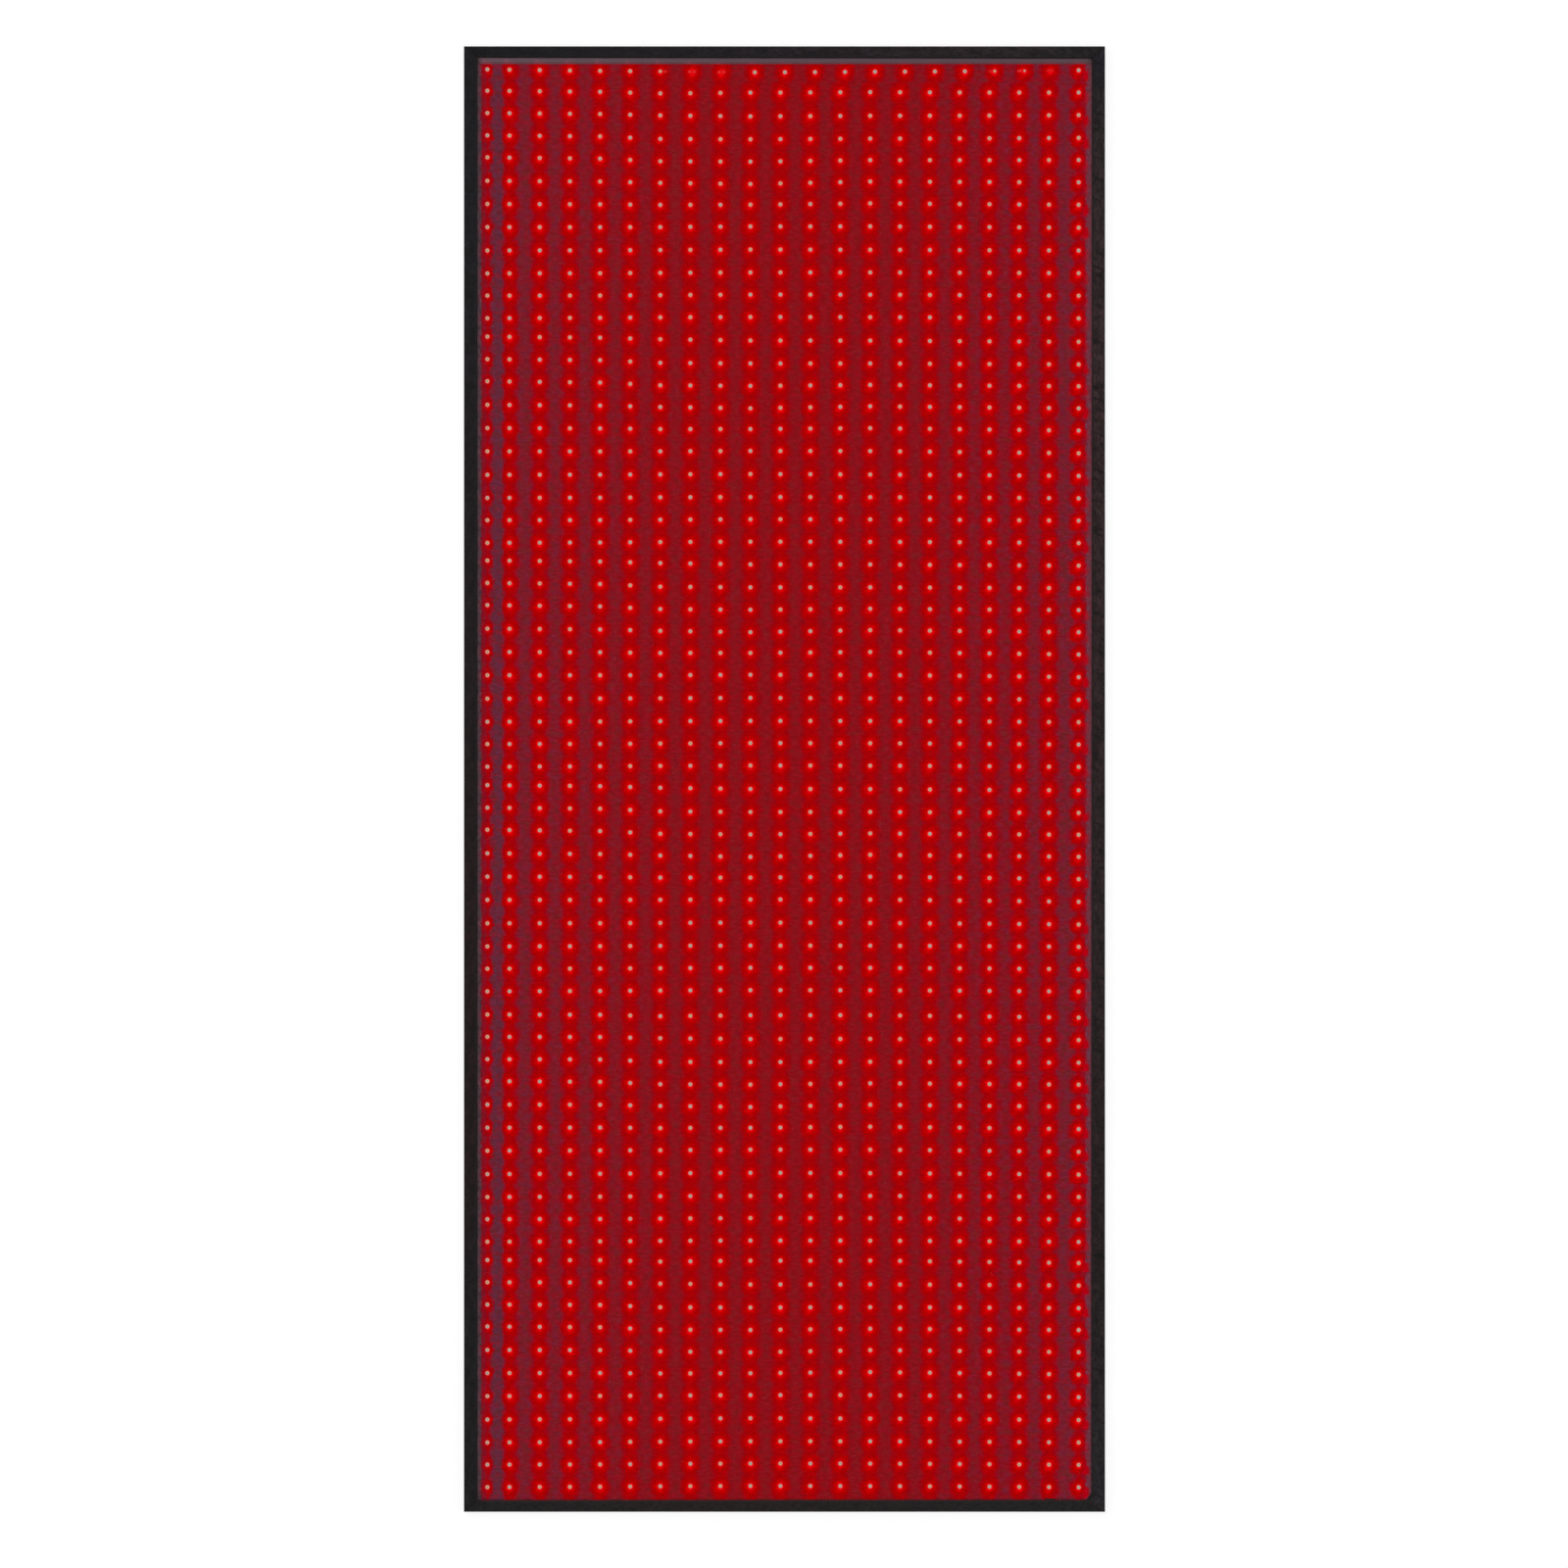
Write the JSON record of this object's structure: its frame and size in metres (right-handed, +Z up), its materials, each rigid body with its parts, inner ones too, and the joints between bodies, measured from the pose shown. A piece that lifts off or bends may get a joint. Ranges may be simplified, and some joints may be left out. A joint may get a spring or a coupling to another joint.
{
  "type": "red light therapy mat",
  "caption": "Long flexible light therapy mat lying flat: rows of red lamps under a clear film, foam pad, black back cover, black wrapped edge binding; folds up in sections for storage.",
  "frame": {"origin": "on the floor, under the centre of the mat lying flat", "axes": "+Y along the mat to its head end, +X across it to the right seen from above, +Z up out of the lamp face"},
  "size_m": [0.7, 1.6, 0.0126],
  "materials": {
    "binding_leatherette": "black, fine grain, lightly creased, satin",
    "cover_fabric": "black plain weave, matt",
    "foam": "grey closed-cell foam, matt",
    "clear_film": "clear flexible film, slightly glossy",
    "lamp_board": "flexible board lit red by its lamps",
    "red_insulation": "red insulation, satin",
    "black_insulation": "black insulation, satin",
    "socket_plastic": "moulded black, satin",
    "contact_metal": "nickel plated"
  },
  "bodies": {
    "lower_section": {"back_cover_lower": "cover_fabric", "foam_pad_lower": "foam", "clear_film_lower": "clear_film", "lamp_board_4": "lamp_board", "lamp_board_5": "lamp_board", "binding_left_lower": "binding_leatherette", "binding_right_lower": "binding_leatherette", "lead_negative_lower": "black_insulation", "lead_positive_lower": "red_insulation"},
    "upper_section": {"back_cover_upper": "cover_fabric", "foam_pad_upper": "foam", "clear_film_upper": "clear_film", "lamp_board_2": "lamp_board", "lamp_board_3": "lamp_board", "binding_left_upper": "binding_leatherette", "binding_right_upper": "binding_leatherette", "lead_negative_upper": "black_insulation", "lead_positive_upper": "red_insulation"},
    "head_section": {"back_cover_head": "cover_fabric", "foam_pad_head": "foam", "clear_film_head": "clear_film", "lamp_board_1": "lamp_board", "binding_left_head": "binding_leatherette", "binding_right_head": "binding_leatherette", "lead_negative_head": "black_insulation", "lead_positive_head": "red_insulation", "binding_head_end": "binding_leatherette"},
    "foot_section": {"back_cover_foot": "cover_fabric", "foam_pad_foot": "foam", "clear_film_foot": "clear_film", "lamp_board_6": "lamp_board", "binding_left_foot": "binding_leatherette", "binding_right_foot": "binding_leatherette", "lead_negative_foot": "black_insulation", "lead_positive_foot": "red_insulation", "binding_foot_end": "binding_leatherette", "socket_housing": "socket_plastic", "socket_pin": "contact_metal", "socket_spring_contact": "contact_metal", "socket_lug_negative": "contact_metal", "socket_lug_positive": "contact_metal"}
  },
  "joints": [
    {"name": "middle_fold", "type": "hinge", "parent": "lower_section", "child": "upper_section", "pos_m": [0, -0.00045, 0.0267], "axis": [1, 0, 0], "range_deg": [0, 177]},
    {"name": "head_fold", "type": "hinge", "parent": "upper_section", "child": "head_section", "pos_m": [0, 0.48828, 0.0131], "axis": [1, 0, 0], "range_deg": [0, 179]},
    {"name": "foot_fold", "type": "hinge", "parent": "lower_section", "child": "foot_section", "pos_m": [0, -0.51766, 0.0131], "axis": [-1, 0, 0], "range_deg": [0, 179]}
  ]
}
